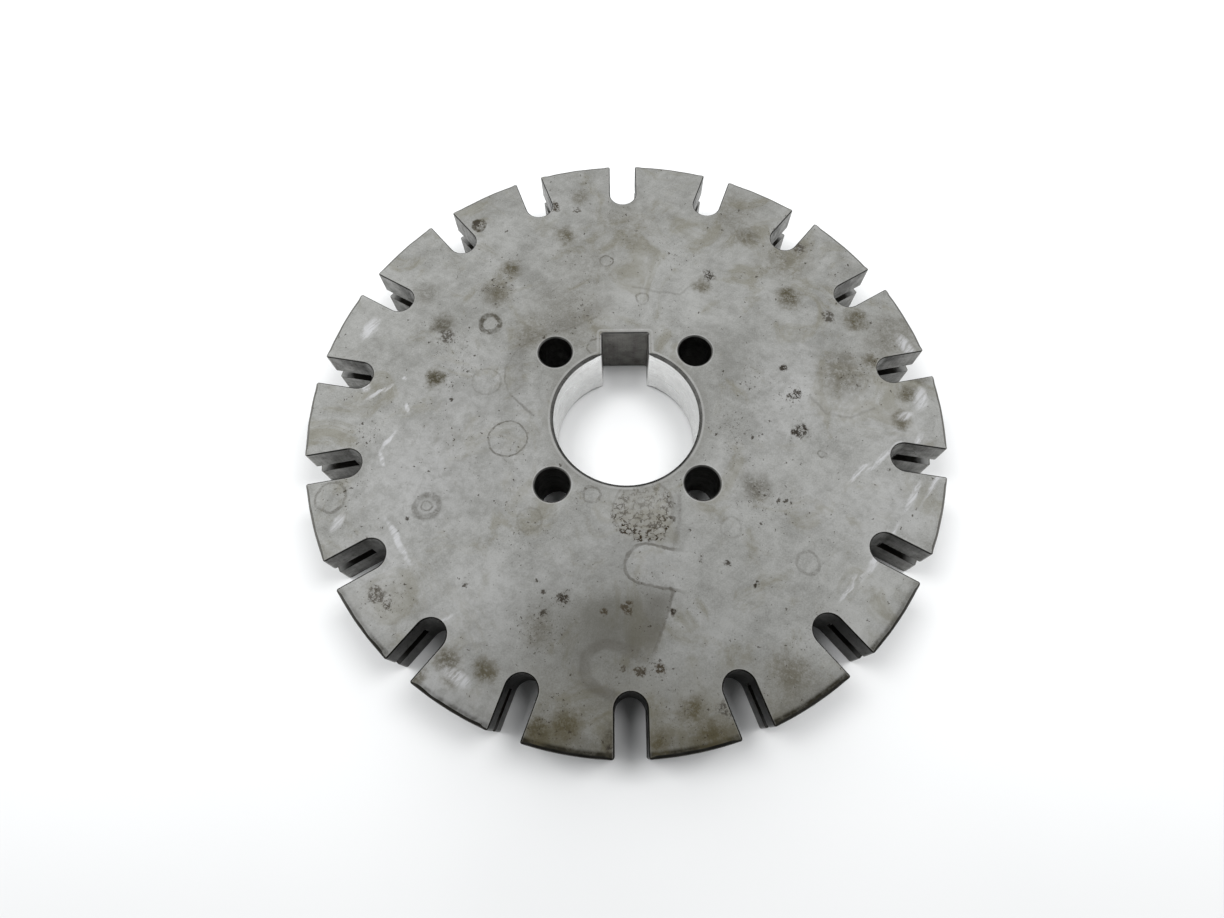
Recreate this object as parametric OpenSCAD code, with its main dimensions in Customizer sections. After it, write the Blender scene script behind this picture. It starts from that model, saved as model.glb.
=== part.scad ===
// Slotted disc body of a face mill: one solid piece of steel, stripped of blades and screws.
// Millimetres. The axis of the bore is Z, the rear face lies on z = 0, and the keyway points along +Y.

/* [Body] */
// Diameter over the rim
body_d = 130; // [115:1:160]
// Thickness between the two ground faces
body_t = 15; // [10:0.5:24]
// Radius that rounds the outer corner of the front face
front_round = 0.6; // [0.2:0.1:1.2]
// Radius that rounds the outer corner of the rear face
rear_round = 1.0; // [0.2:0.1:1.6]

/* [Blade slots] */
// Number of slots cut into the rim
slot_count = 18; // [6:1:22]
// Width of each slot
slot_w = 6; // [3:0.5:8]
// Distance from the rim to the round end of a slot
slot_depth = 11.2; // [8:0.1:14]
// Edge break around each slot
slot_break = 0.2; // [0.1:0.05:0.5]

/* [Rim groove] */
// Width of the turned groove around the rim
groove_w = 3; // [1:0.5:5]
// Depth of the groove below the rim
groove_depth = 8; // [3:0.1:8.5]
// Edge break where the groove meets the rim
groove_break = 0.4; // [0.1:0.1:0.8]

/* [Bore and keyway] */
// Diameter of the bore
bore_d = 30; // [22:0.5:32]
// Edge break at both ends of the bore
bore_break = 0.5; // [0.2:0.1:1]
// Width of the keyway
key_w = 10; // [6:0.5:12]
// Depth of the keyway beyond the bore, on its centre line
key_depth = 4.3; // [2:0.1:4.5]
// Edge break along the keyway
key_break = 0.3; // [0.1:0.1:0.5]

/* [Screw holes] */
// Number of holes around the bore
hole_count = 4; // [2:1:4]
// Diameter of the circle through the hole centres
hole_circle_d = 42; // [42:0.5:54]
// Diameter of each hole
hole_d = 7; // [4:0.5:7.5]
// Edge break at both ends of each hole
hole_break = 0.3; // [0.1:0.1:0.6]

/* [Hidden] */
// Smoothness of every round surface
$fn = 96;
// Overrun of every cutting shape past the face that it cuts
over = 1;
body_r = body_d / 2;
// Centre of the round end of a slot, measured from the axis
slot_end_r = body_r - slot_depth + slot_w / 2;
// First hole, measured from +X, so that the holes straddle the keyway
first_hole = 45;

// Half of the rim's cross-section, from the axis out, without the groove.
module rim_profile() {
    difference() {
        square([body_r, body_t]);
        rounded_corner(body_r, rear_round);
        translate([0, body_t])
            mirror([0, 1])
                rounded_corner(body_r, front_round);
    }
}

// The sliver outside a quarter round of radius r, at a corner that stands on the X axis.
module rounded_corner(x, r) {
    difference() {
        translate([x - r, -over])
            square([r + over, r + over]);
        translate([x - r, r])
            circle(r = r);
    }
}

// Cross-section of the rim groove with a small bevel at its mouth.
module groove_profile() {
    half = groove_w / 2;
    mouth = half + groove_break + over;
    polygon([
        [body_r - groove_depth, -half],
        [body_r - groove_break, -half],
        [body_r + over, -mouth],
        [body_r + over, mouth],
        [body_r - groove_break, half],
        [body_r - groove_depth, half]
    ]);
}

// A cone frustum that bevels a round hole's mouth at z = 0, widening downwards.
module hole_bevel(r, bevel) {
    translate([0, 0, -over])
        cylinder(h = bevel + over, r1 = r + bevel + over, r2 = r);
}

// Bevels both ends of a hole of radius r that runs through the body.
module hole_bevels(r, bevel) {
    hole_bevel(r, bevel);
    translate([0, 0, body_t])
        mirror([0, 0, 1])
            hole_bevel(r, bevel);
}

// A straight groove along +X with 45 degree sides, which bevels a slot of half width w at z = 0.
module channel_bevel(length, w, bevel) {
    rotate([90, 0, 90])
        linear_extrude(height = length)
            polygon([
                [-w, bevel],
                [-w - bevel - over, -over],
                [w + bevel + over, -over],
                [w, bevel]
            ]);
}

// One blade slot, open at the rim along +X, with a round inner end.
module blade_slot() {
    length = body_r + over - slot_end_r;
    translate([slot_end_r, 0, -over])
        cylinder(h = body_t + 2 * over, d = slot_w);
    translate([slot_end_r, -slot_w / 2, -over])
        cube([length, slot_w, body_t + 2 * over]);
    for (top = [0, 1])
        translate([slot_end_r, 0, top * body_t])
            mirror([0, 0, top]) {
                hole_bevel(slot_w / 2, slot_break);
                channel_bevel(length, slot_w / 2, slot_break);
            }
}

// The bore with its keyway along +Y.
module keyed_bore() {
    translate([0, 0, -over])
        cylinder(h = body_t + 2 * over, d = bore_d);
    hole_bevels(bore_d / 2, bore_break);
    back = bore_d / 2 + key_depth;
    translate([-key_w / 2, 0, -over])
        cube([key_w, back, body_t + 2 * over]);
    for (top = [0, 1])
        translate([0, 0, top * body_t])
            mirror([0, 0, top])
                rotate([0, 0, 90])
                    channel_bevel(back, key_w / 2, key_break);
}

module cutter_body() {
    color([0.62, 0.62, 0.60])
        difference() {
            rotate_extrude()
                rim_profile();
            translate([0, 0, body_t / 2])
                rotate_extrude()
                    groove_profile();
            for (i = [0 : slot_count - 1])
                rotate([0, 0, 90 + i * 360 / slot_count])
                    blade_slot();
            keyed_bore();
            for (i = [0 : hole_count - 1])
                rotate([0, 0, first_hole + i * 360 / hole_count])
                    translate([hole_circle_d / 2, 0, 0]) {
                        translate([0, 0, -over])
                            cylinder(h = body_t + 2 * over, d = hole_d);
                        hole_bevels(hole_d / 2, hole_break);
                    }
        }
}

cutter_body();
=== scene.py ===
"""Looks of the slotted milling cutter body: one worn steel disc on a pale, smooth table.

Sizes named in millimetres repeat the driving dimensions of the CAD part.
"""

import math
import random

import bpy
from mathutils import Matrix, Vector, geometry


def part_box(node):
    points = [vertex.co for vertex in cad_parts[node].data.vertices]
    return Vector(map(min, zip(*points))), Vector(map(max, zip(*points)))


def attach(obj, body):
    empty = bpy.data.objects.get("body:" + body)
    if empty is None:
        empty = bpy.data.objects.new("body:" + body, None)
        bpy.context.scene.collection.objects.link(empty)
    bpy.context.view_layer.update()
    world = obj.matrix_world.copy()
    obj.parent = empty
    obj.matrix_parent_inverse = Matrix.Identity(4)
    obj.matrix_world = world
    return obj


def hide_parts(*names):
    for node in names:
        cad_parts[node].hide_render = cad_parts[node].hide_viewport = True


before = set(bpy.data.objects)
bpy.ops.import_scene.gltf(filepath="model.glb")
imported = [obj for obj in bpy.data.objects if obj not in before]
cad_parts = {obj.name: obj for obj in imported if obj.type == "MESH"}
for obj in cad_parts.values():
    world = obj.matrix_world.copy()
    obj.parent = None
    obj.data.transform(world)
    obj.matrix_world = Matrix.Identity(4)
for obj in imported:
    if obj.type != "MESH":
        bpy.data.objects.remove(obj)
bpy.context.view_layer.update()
_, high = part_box("cutter_body")

MM = 0.001
BODY_R = high.x / MM
BODY_T = high.z / MM
SLOTS = 18
SLOT_W = 6.0
SLOT_END = BODY_R - 11.2 + SLOT_W / 2
GROOVE_R = BODY_R - 8.0
GROOVE_W = 3.0
BORE_R = 15.0
KEY_W = 10.0
KEY_BACK = BORE_R + 4.3
HOLE_R = 3.5
HOLE_CIRCLE_R = 21.0
HOLE_XY = HOLE_CIRCLE_R * math.sqrt(0.5)
REAR_ROUND = 1.0
PITCH = 2 * math.pi / SLOTS

dice = random.Random(1912)


# ---------------------------------------------------------------- outlines
# A point of an outline is (x, y, nx, ny, edge, mouth, surface). The normal points out of the metal,
# edge is the size of the edge break at both faces, mouth the edge break where the groove opens,
# and surface says how that stretch of wall was made.

# The front face is made of nine patches, three by three, so that each material holds only the stains
# near it.
# They share one pattern, which runs on across their borders.
PATCH_X = (-BODY_R, -20.0, 20.0, BODY_R)
PATCH_Y = (-BODY_R, -30.0, 10.0, BODY_R)
REAR, RIM, SLOT, GROOVE, BORE, KEY_BACK_WALL, KEY_SIDE, HOLE = range(9, 17)
STEEL_DARK, STEEL_LIGHT = (0.305, 0.303, 0.284), (0.520, 0.520, 0.503)
OIL_FILM = (0.225, 0.205, 0.135)
NEAR_FILM = (0.130, 0.110, 0.046)
# the next two colours are painted shade, laid on the side nearest the camera
RIM_NEAR_SHADE = (0.040, 0.036, 0.026)
WALL_NEAR_SHADE = (0.012, 0.011, 0.008)
# lighter steel for wiped areas, also used as a painted sheen
WIPED_AND_SHEEN = (0.66, 0.66, 0.66)
# near-white for rubbed streaks, a painted glint
SCUFF_GLINT = (0.80, 0.80, 0.82)
OIL_CLOUD = (0.125, 0.118, 0.090)
OIL_EDGE = (0.135, 0.125, 0.105)
CRUST_STAIN = (0.190, 0.160, 0.080)
CRUST_BROWN = (0.040, 0.025, 0.010)
RUST = (0.065, 0.052, 0.038)


def lerp(a, b, t):
    return a + (b - a) * t


def smooth(t):
    t = min(1.0, max(0.0, t))
    return t * t * (3 - 2 * t)


def arc(cx, cy, r, a0, a1, steps, side):
    """Points on an arc with their normals. side is 1 where the metal lies inside the arc, and -1 where it
    lies outside."""
    out = []
    for i in range(steps + 1):
        a = lerp(a0, a1, i / steps)
        c, s = math.cos(a), math.sin(a)
        out.append((cx + r * c, cy + r * s, side * c, side * s))
    return out


def line(p, q, n, steps):
    return [(lerp(p[0], q[0], i / steps), lerp(p[1], q[1], i / steps), n[0], n[1]) for i in range(steps + 1)]


def turned(points, angle):
    c, s = math.cos(angle), math.sin(angle)
    return [(c * x - s * y, s * x + c * y, c * nx - s * ny, s * nx + c * ny) for x, y, nx, ny in points]


def wobble(seed, size):
    """A smooth function of distance, about 1, that differs from edge to edge."""
    r = random.Random(seed)
    waves = [(r.uniform(0.25, 1.6), r.uniform(0, 6.28), r.uniform(0.3, 1)) for _ in range(5)]
    total = sum(w[2] for w in waves)
    return lambda s: 1 + size * sum(a * math.sin(k * s + p) for k, p, a in waves) / total


def rim_outline():
    """The outer outline, counter-clockwise: for every slot its two corners, walls and round end, then the rim
    to the next slot. Also returns, for every slot, where its round end starts and stops in the list."""
    half = SLOT_W / 2
    inner = math.sqrt(GROOVE_R**2 - half**2)
    corners = [dice.uniform(0.38, 0.46) for _ in range(2 * SLOTS)]
    points, ends = [], []

    def corner(r):
        v = half + r
        u = math.sqrt((BODY_R - r) ** 2 - v * v)
        return u, v

    for k in range(SLOTS):
        turn = math.pi / 2 + k * PITCH
        r0, r1 = corners[2 * k], corners[2 * k + 1]
        u0, v0 = corner(r0)
        u1, v1 = corner(r1)
        rim_edge, slot_edge = dice.uniform(0.54, 0.64), dice.uniform(0.19, 0.25)
        vary = wobble(dice.random(), 0.14)
        here = []

        def add(pts, edge, mouth, surface):
            for i, p in enumerate(turned(pts, turn)):
                t = i / max(1, len(pts) - 1)
                here.append((*p, edge(t), mouth(t), surface))

        a0 = math.atan2(v0, u0)
        add(arc(u0, -v0, r0, -a0, math.pi / 2, 6, 1)[:-1],
            lambda t: lerp(0.36, slot_edge, smooth(t)), lambda t: lerp(0.3, 0.05, smooth(t)), RIM)
        add(line((u0, -half), (inner, -half), (0, 1), 8)[:-1],
            lambda t: slot_edge, lambda t: 0.05, SLOT)
        start = len(points) + len(here)
        add([(inner, -half, 0.0, 1.0)], lambda t: slot_edge, lambda t: 0.04, SLOT)
        add(arc(SLOT_END, 0, half, -math.pi / 2, -1.5 * math.pi, 24, -1),
            lambda t: slot_edge, lambda t: 0.04, SLOT)
        stop = len(points) + len(here)
        add(line((inner, half), (u1, half), (0, -1), 8)[:-1],
            lambda t: slot_edge, lambda t: 0.05, SLOT)
        a1 = math.atan2(v1, u1)
        add(arc(u1, v1, r1, -math.pi / 2, a1, 6, 1)[:-1],
            lambda t: lerp(slot_edge, 0.36, smooth(t)), lambda t: lerp(0.05, 0.3, smooth(t)), RIM)
        next_u, next_v = corner(corners[(2 * k + 2) % (2 * SLOTS)])
        length = BODY_R * (PITCH - a1 - math.atan2(next_v, next_u))
        add(arc(0, 0, BODY_R, a1, PITCH - math.atan2(next_v, next_u), 40, 1)[:-1],
            lambda t: lerp(0.36, rim_edge * vary(t * length), smooth(min(t, 1 - t) * length / 1.1)),
            lambda t: 0.35, RIM)
        points += here
        ends.append((start, stop))
    return points, ends


def bore_outline():
    """The bore with its keyway, clockwise."""
    half, fillet, tip = KEY_W / 2, 0.4, 0.36
    yc = math.sqrt((BORE_R + tip) ** 2 - (half + tip) ** 2)
    a = math.atan2(yc, half + tip)
    out = []

    def add(pts, edge, surface):
        for i, p in enumerate(pts):
            out.append((*p, edge(i / max(1, len(pts) - 1)), 0.0, surface))

    key = lambda t: 0.28
    add(line((-half + fillet, KEY_BACK), (half - fillet, KEY_BACK), (0, -1), 8)[:-1], key, KEY_BACK_WALL)
    add(arc(half - fillet, KEY_BACK - fillet, fillet, math.pi / 2, 0, 5, -1)[:-1], key, KEY_BACK_WALL)
    add(line((half, KEY_BACK - fillet), (half, yc), (-1, 0), 6)[:-1], key, KEY_SIDE)
    add(arc(half + tip, yc, tip, math.pi, math.pi + a, 5, 1)[:-1], key, BORE)
    span = BORE_R * (2 * a + math.pi)
    add(arc(0, 0, BORE_R, a, -math.pi - a, 150, -1)[:-1],
        lambda t: lerp(0.30, 0.58, smooth(min(t, 1 - t) * span / 1.2)), BORE)
    add(arc(-half - tip, yc, tip, -a, 0, 5, 1)[:-1], key, BORE)
    add(line((-half, yc), (-half, KEY_BACK - fillet), (1, 0), 6)[:-1], key, KEY_SIDE)
    add(arc(-half + fillet, KEY_BACK - fillet, fillet, math.pi, math.pi / 2, 5, -1)[:-1], key, KEY_BACK_WALL)
    return out


def hole_outline(angle):
    cx, cy = HOLE_CIRCLE_R * math.cos(angle), HOLE_CIRCLE_R * math.sin(angle)
    return [(*p, 0.28, 0.0, HOLE) for p in arc(cx, cy, HOLE_R, 0, -2 * math.pi, 56, -1)[:-1]]


# ---------------------------------------------------------------- mesh
ROUND = [(1 - math.sin(math.radians(a)), 1 - math.cos(math.radians(a)), a) for a in (0, 18, 36, 54, 72, 90)]
CHAMFER = [
    (1.08, 0, 0), (0.92, 0.06, 20), (0.80, 0.20, 42),
    (0.20, 0.80, 48), (0.06, 0.92, 70), (0, 1.08, 90),
]


class Builder:
    def __init__(self):
        self.co, self.faces, self.kinds, self.normals, self.wear_and_light = [], [], [], [], []

    def vertex(self, x, y, z, wear_and_light=0.0):
        self.co.append((x * MM, y * MM, z * MM))
        self.wear_and_light.append(wear_and_light)
        return len(self.co) - 1

    def face(self, indices, normals, kind):
        self.faces.append(indices)
        self.normals += normals
        self.kinds.append(kind)


def levels_for(point, profile, grooved):
    """One column of an outline, from the front face down to the rear face, as (inset, z, tilt, weight) with
    tilt the angle of the normal above the wall, in degrees, and the weight how strongly the wall's edge
    colour, edge wear and painted light and shade, shows there. The groove's two mouths stand in the middle.
    Also returns how many rows lie above the groove's middle."""
    edge, mouth = point[4], point[5]
    fade = (0.0, 1.3, 90)
    down = [(d * edge, BODY_T - h * edge, 90 - a, float(h < 1.2)) for d, h, a in profile + [fade]]
    if not grooved:
        return down + [(inset, BODY_T - z, -tilt, row_wear_and_light) for inset, z, tilt, row_wear_and_light in reversed(down)], len(down)
    upper = BODY_T / 2 + GROOVE_W / 2
    steps = [(1 - math.cos(math.radians(a)), 1 - math.sin(math.radians(a)), a) for a in (0, 30, 60, 90)]
    above = [(d * mouth, upper + h * mouth, -a, a / 90) for d, h, a in steps]
    below = [(inset, BODY_T - z, -tilt, row_wear_and_light) for inset, z, tilt, row_wear_and_light in reversed(above)]
    return down + above + below + rear_rows(point), len(down + above)


def rear_rows(point):
    """The rows of the outer wall near the rear face, where a slot's edge is only broken."""
    x, y, nx, ny, edge = point[:5]
    outwards = max(0.0, (x * nx + y * ny) / math.hypot(x, y))
    slot_break = edge * (1 - smooth((edge - 0.25) / 0.11)) + 0.02
    rows = []
    for a in (0, 18, 36, 52, 66, 78, 90):
        z = REAR_ROUND * (1 - math.sin(math.radians(a)))
        slope = max(0.0, 1 - z / slot_break)
        tilt = max(a * outwards, math.degrees(math.asin(slope)))
        rows.append((slot_break * (1 - math.sqrt(1 - slope * slope)), z, -tilt, float(a > 40)))
    return rows


def round_rear(x, y, z):
    """Moves a point of the outer wall in to the rounded rear edge of the rim, along the nearest slot."""
    r = math.hypot(x, y)
    if z >= REAR_ROUND:
        return x, y
    reach = BODY_R - REAR_ROUND + math.sqrt(REAR_ROUND**2 - (REAR_ROUND - z) ** 2)
    if r <= reach:
        return x, y
    turn = math.atan2(y, x)
    axis = math.pi / 2 + PITCH * round((turn - math.pi / 2) / PITCH)
    v = r * math.sin(turn - axis)
    v *= lerp(1.0, reach / r, smooth((abs(v) - SLOT_W / 2) / 5.0))
    u = math.sqrt(reach * reach - v * v)
    return u * math.cos(axis) - v * math.sin(axis), u * math.sin(axis) + v * math.cos(axis)


def add_wall(build, points, profile, ends=None):
    """The wall along an outline. Returns the vertices of its front and rear edges, and those of the
    groove's mouths."""
    n = len(points)
    grooved = ends is not None
    open_wall = [grooved] * n
    for start, stop in ends or []:
        for i in range(start, stop):
            open_wall[i] = False
    closed = [not o for o in open_wall]
    columns, tilts = [], []
    for i, p in enumerate(points):
        column, middle = levels_for(p, profile, grooved)
        # the round end of a slot stays inside the groove's floor, so its wall has no mouths
        flat = grooved and closed[i] and closed[i - 1] and closed[(i + 1) % n]
        vs, ts = [], []
        for j, (inset, z, tilt, row_wear_and_light) in enumerate(column):
            if flat and len(profile) < j < 2 * middle - len(profile) - 1:
                inset, tilt, row_wear_and_light = 0.0, 0.0, 0.0
            x, y = p[0] - p[2] * inset, p[1] - p[3] * inset
            if grooved:
                x, y = round_rear(x, y, z)
            vs.append(build.vertex(x, y, z, row_wear_and_light))
            ts.append(tilt)
        columns.append(vs)
        tilts.append(ts)

    def normal(i, j):
        t = math.radians(tilts[i][j])
        return (points[i][2] * math.cos(t), points[i][3] * math.cos(t), math.sin(t))

    for i in range(n):
        k = (i + 1) % n
        whole = closed[i] and closed[k]
        surface = points[i][6]
        for j in range(len(columns[0]) - 1):
            if grooved and j == middle - 1 and not whole:
                continue
            build.face(
                [columns[i][j], columns[i][j + 1], columns[k][j + 1], columns[k][j]],
                [normal(i, j), normal(i, j + 1), normal(k, j + 1), normal(k, j)],
                surface,
            )
    front = [c[0] for c in columns]
    rear = [c[-1] for c in columns]
    if not grooved:
        return front, rear, None, None
    return front, rear, [c[middle - 1] for c in columns], [c[middle] for c in columns]


def add_groove(build, points, ends, upper, lower):
    """The two flanks of the groove in every tooth and its floor between them."""
    n = len(points)
    for k in range(SLOTS):
        first, last = ends[k][1] - 1, ends[(k + 1) % SLOTS][0]
        chain = [(first + i) % n for i in range((last - first) % n + 1)]
        a0 = math.atan2(points[chain[0]][1], points[chain[0]][0])
        a1 = math.atan2(points[chain[-1]][1], points[chain[-1]][0])
        sweep = (a1 - a0) % (2 * math.pi)
        steps = 18
        angles = [a0 + sweep * i / steps for i in range(1, steps)]
        rows = []
        for ring, z in ((upper, BODY_T / 2 + GROOVE_W / 2), (lower, BODY_T / 2 - GROOVE_W / 2)):
            floor = [build.vertex(GROOVE_R * math.cos(a), GROOVE_R * math.sin(a), z) for a in angles]
            rows.append([ring[chain[0]]] + floor + [ring[chain[-1]]])
        for ring, floor, sign in ((upper, rows[0], -1), (lower, rows[1], 1)):
            loop = [ring[c] for c in chain] + floor[-2:0:-1]
            if sign < 0:
                loop.reverse()
            build.face(loop, [(0, 0, sign)] * len(loop), GROOVE)
        around = [a0] + angles + [a1]
        for i in range(steps):
            a, b = around[i], around[i + 1]
            na, nb = (math.cos(a), math.sin(a), 0), (math.cos(b), math.sin(b), 0)
            build.face([rows[0][i], rows[1][i], rows[1][i + 1], rows[0][i + 1]], [na, na, nb, nb], GROOVE)


def add_cap(build, loops, z, sign):
    """A flat face between an outer outline and the outlines inside it. loops holds lists of vertex
    numbers."""
    ids, edges = [], []
    for loop in loops:
        base = len(ids)
        ids += loop
        edges += [(base + i, base + (i + 1) % len(loop)) for i in range(len(loop))]
    # a loose grid inside the face keeps its triangles well shaped
    step, row = 3.0, 0
    extra = []
    y = -BODY_R
    while y < BODY_R:
        x = -BODY_R + (row % 2) * step / 2
        while x < BODY_R:
            px, py = x + dice.uniform(-0.3, 0.3), y + dice.uniform(-0.3, 0.3)
            r = math.hypot(px, py)
            near_hole = min(
                math.hypot(px - s * HOLE_XY, py - t * HOLE_XY)
                for s in (1, -1) for t in (1, -1)
            )
            near_key = abs(px) < KEY_W / 2 + 2 and 0 < py < KEY_BACK + 2
            turn = math.atan2(px, py)
            turn -= PITCH * round(turn / PITCH)
            near_slot = r * math.cos(turn) > SLOT_END - SLOT_W and abs(r * math.sin(turn)) < SLOT_W / 2 + 1.5
            near_edge = near_hole <= HOLE_R + 1.5 or near_key or near_slot
            if BORE_R + 2 < r < BODY_R - 2 and not near_edge:
                extra.append((px, py))
            x += step
        y += step * 0.866
        row += 1
    flat = [Vector((build.co[i][0] / MM, build.co[i][1] / MM)) for i in ids] + [Vector(p) for p in extra]
    verts, _, tris, origins, _, _ = geometry.delaunay_2d_cdt(flat, edges, [], 1, 1e-5)
    number = []
    for v, o in zip(verts, origins):
        number.append(ids[o[0]] if o and o[0] < len(ids) else build.vertex(v.x, v.y, z))

    owner = {}
    for k, loop in enumerate(loops[1:]):
        for i in loop:
            owner[i] = k
    shapes = [[(build.co[i][0] / MM, build.co[i][1] / MM) for i in loop] for loop in loops[1:]]

    def inside(shape, px, py):
        odd = False
        for (ax, ay), (bx, by) in zip(shape, shape[1:] + shape[:1]):
            if (ay > py) != (by > py) and px < ax + (py - ay) * (bx - ax) / (by - ay):
                odd = not odd
        return odd

    for tri in tris:
        cx = sum(verts[i].x for i in tri) / 3
        cy = sum(verts[i].y for i in tri) / 3
        hole = {owner.get(number[i]) for i in tri}
        if len(hole) == 1 and None not in hole and inside(shapes[hole.pop()], cx, cy):
            continue
        order = list(tri)
        a, b, c = (verts[i] for i in order)
        if ((b - a).x * (c - a).y - (b - a).y * (c - a).x) * sign < 0:
            order.reverse()
        build.face([number[i] for i in order], [(0, 0, sign)] * 3, patch_at(cx, cy) if sign > 0 else REAR)


def patch_at(x, y):
    return sum(x > e for e in PATCH_X[1:-1]) + 3 * sum(y > e for e in PATCH_Y[1:-1])


def make_body():
    build = Builder()
    outline, ends = rim_outline()
    fronts, rears = [], []
    front, rear, upper, lower = add_wall(build, outline, ROUND, ends)
    add_groove(build, outline, ends, upper, lower)
    fronts.append(front)
    rears.append(rear)
    for loop in [bore_outline()] + [hole_outline(math.radians(45 + 90 * i)) for i in range(4)]:
        front, rear, _, _ = add_wall(build, loop, CHAMFER)
        fronts.append(front)
        rears.append(rear)
    add_cap(build, fronts, BODY_T, 1)
    add_cap(build, rears, 0.0, -1)

    mesh = bpy.data.meshes.new("cutter_body_looks")
    mesh.from_pydata(build.co, [], build.faces)
    for polygon, kind in zip(mesh.polygons, build.kinds):
        polygon.material_index = kind
        polygon.use_smooth = True
    # weight of the edge breaks, which the walls paint with edge wear and painted light and shade
    attribute = mesh.attributes.new("edge_wear_and_light", "FLOAT", "POINT")
    attribute.data.foreach_set("value", build.wear_and_light)
    mesh.normals_split_custom_set(build.normals)
    body = bpy.data.objects.new("milling_cutter_body", mesh)
    bpy.context.scene.collection.objects.link(body)
    return body


# ---------------------------------------------------------------- node helpers
class Tree:
    def __init__(self, tree):
        self.tree = tree
        tree.nodes.clear()

    def node(self, kind, **settings):
        n = self.tree.nodes.new(kind)
        for name, value in settings.items():
            setattr(n, name, value)
        return n

    def put(self, socket, value):
        if isinstance(value, bpy.types.NodeSocket):
            self.tree.links.new(value, socket)
        elif value is not None:
            socket.default_value = value

    def math(self, op, a, b=None, c=None, clamp=False):
        n = self.node("ShaderNodeMath", operation=op, use_clamp=clamp)
        for i, v in enumerate((a, b, c)):
            self.put(n.inputs[i], v)
        return n.outputs[0]

    def vector(self, op, a, b=None, scale=None):
        n = self.node("ShaderNodeVectorMath", operation=op)
        self.put(n.inputs[0], a)
        self.put(n.inputs[1], b)
        if scale is not None:
            self.put(n.inputs["Scale"], scale)
        return n.outputs["Value"] if op in ("LENGTH", "DISTANCE", "DOT_PRODUCT") else n.outputs["Vector"]

    def combine(self, x=0.0, y=0.0, z=0.0):
        n = self.node("ShaderNodeCombineXYZ")
        for i, v in enumerate((x, y, z)):
            self.put(n.inputs[i], v)
        return n.outputs[0]

    def split(self, v):
        n = self.node("ShaderNodeSeparateXYZ")
        self.put(n.inputs[0], v)
        return n.outputs

    def noise(self, where, scale, detail=3.0, rough=0.55, distort=0.0, colour=False):
        n = self.node("ShaderNodeTexNoise")
        self.put(n.inputs["Vector"], where)
        n.inputs["Scale"].default_value = scale
        n.inputs["Detail"].default_value = detail
        n.inputs["Roughness"].default_value = rough
        n.inputs["Distortion"].default_value = distort
        return n.outputs["Color" if colour else 0]

    def cells(self, where, scale, random_=1.0):
        n = self.node("ShaderNodeTexVoronoi")
        self.put(n.inputs["Vector"], where)
        n.inputs["Scale"].default_value = scale
        n.inputs["Randomness"].default_value = random_
        return n.outputs["Distance"], n.outputs["Color"]

    def step(self, value, low_, high_, bottom=0.0, top=1.0):
        """A smooth ramp from bottom at low_ to top at high_."""
        n = self.node("ShaderNodeMapRange", interpolation_type="SMOOTHSTEP")
        self.put(n.inputs[0], value)
        n.inputs[1].default_value = low_
        n.inputs[2].default_value = high_
        n.inputs[3].default_value = bottom
        n.inputs[4].default_value = top
        return n.outputs[0]

    def mix(self, factor, a, b, blend="MIX"):
        n = self.node("ShaderNodeMix", data_type="RGBA", blend_type=blend)
        self.put(n.inputs[0], factor)
        self.put(n.inputs[6], (*a, 1.0) if isinstance(a, tuple) and len(a) == 3 else a)
        self.put(n.inputs[7], (*b, 1.0) if isinstance(b, tuple) and len(b) == 3 else b)
        return n.outputs[2]

    def many(self, op, values):
        """All the values joined by one operation. values may be a generator: each one is joined as soon
        as it is made, which keeps a long list within what the renderer can hold at once."""
        out = None
        for v in values:
            out = v if out is None else self.math(op, out, v)
        return out


def new_material(name):
    material = bpy.data.materials.new(name)
    material.use_nodes = True
    return material, Tree(material.node_tree)


def finish_material(t, colour, rough, height, bump_mm, metallic=1.0, coat=0.0):
    shader = t.node("ShaderNodeBsdfPrincipled")
    t.put(shader.inputs["Base Color"], colour)
    t.put(shader.inputs["Roughness"], rough)
    shader.inputs["Metallic"].default_value = metallic
    shader.inputs["Coat Weight"].default_value = coat
    bump = t.node("ShaderNodeBump")
    bump.inputs["Strength"].default_value = 1.0
    bump.inputs["Distance"].default_value = bump_mm * MM
    t.put(bump.inputs["Height"], height)
    t.put(shader.inputs["Normal"], bump.outputs[0])
    out = t.node("ShaderNodeOutputMaterial")
    t.put(out.inputs[0], shader.outputs[0])


def millimetres(t):
    coords = t.node("ShaderNodeTexCoord")
    return t.vector("SCALE", coords.outputs["Object"], scale=1 / MM)


# ---------------------------------------------------------------- ground faces
# Dried drops on the front face: x, y, outer radius, width of the ring, how dark, all in millimetres.
DROP_RINGS = [
    (-4, 38, 1.5, 0.32, 0.60),
    (-29, 22, 2.5, 0.95, 0.85),
    (-24, -5, 4.0, 0.35, 0.62),
    (-39, -19, 2.9, 1.10, 0.50),
    (-39, -19, 1.2, 0.35, 0.50),
    (-6, 16, 2.1, 0.35, 0.50),
    (4, 28, 1.6, 0.40, 0.45),
    (3, -20, 6.1, 0.50, 0.30),
    (-7, -17, 1.8, 0.45, 0.45),
    (34, -31, 2.5, 0.55, 0.35),
    (39, -9, 1.0, 0.40, 0.50),
    (-58, -17, 3.2, 0.45, 0.45),
    (-19, -22, 2.6, 0.40, 0.25),
    (-29, 8, 3.2, 0.35, 0.30),
    (20, -24, 2.2, 0.35, 0.22),
    (-33, 48, 1.8, 0.60, 0.90),
]
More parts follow.
